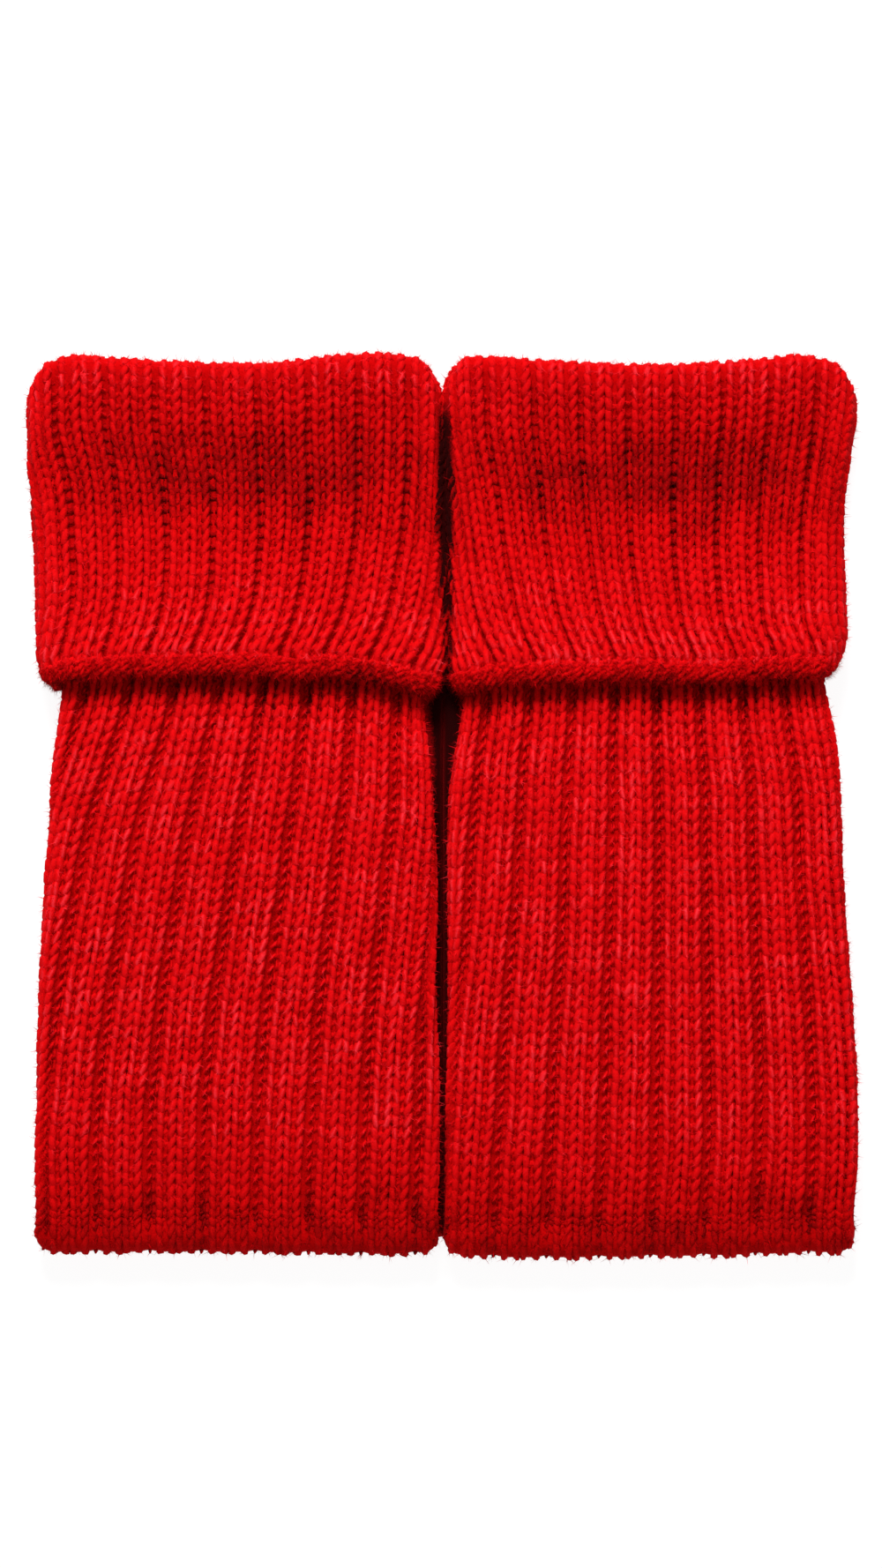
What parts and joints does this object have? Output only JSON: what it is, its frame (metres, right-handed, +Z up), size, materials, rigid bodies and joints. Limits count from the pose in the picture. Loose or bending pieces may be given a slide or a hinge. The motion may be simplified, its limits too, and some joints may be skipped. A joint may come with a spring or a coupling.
{
  "type": "pair of leg warmers",
  "caption": "Pair of red chunky rib knit leg warmers laid flat side by side, with deep turned-down cuffs, rolled hems and the lower legs folded under.",
  "frame": {"origin": "on the floor, under the middle of the pair", "axes": "+X across the pair to the right, +Y along the tubes towards the cuffs, +Z up from the floor"},
  "size_m": [0.2437, 0.2652, 0.0176],
  "materials": {
    "rib_knit": "soft brushed rib knit",
    "rolled_hem": "soft fuzzy rolled edge",
    "folded_knit": "soft brushed rib knit"
  },
  "bodies": {
    "root": {"left_leg": "rib_knit", "left_cuff": "rib_knit", "left_cuff_hem": "rolled_hem", "left_folded_layers": "folded_knit", "right_leg": "rib_knit", "right_cuff": "rib_knit", "right_cuff_hem": "rolled_hem", "right_folded_layers": "folded_knit"}
  },
  "joints": []
}
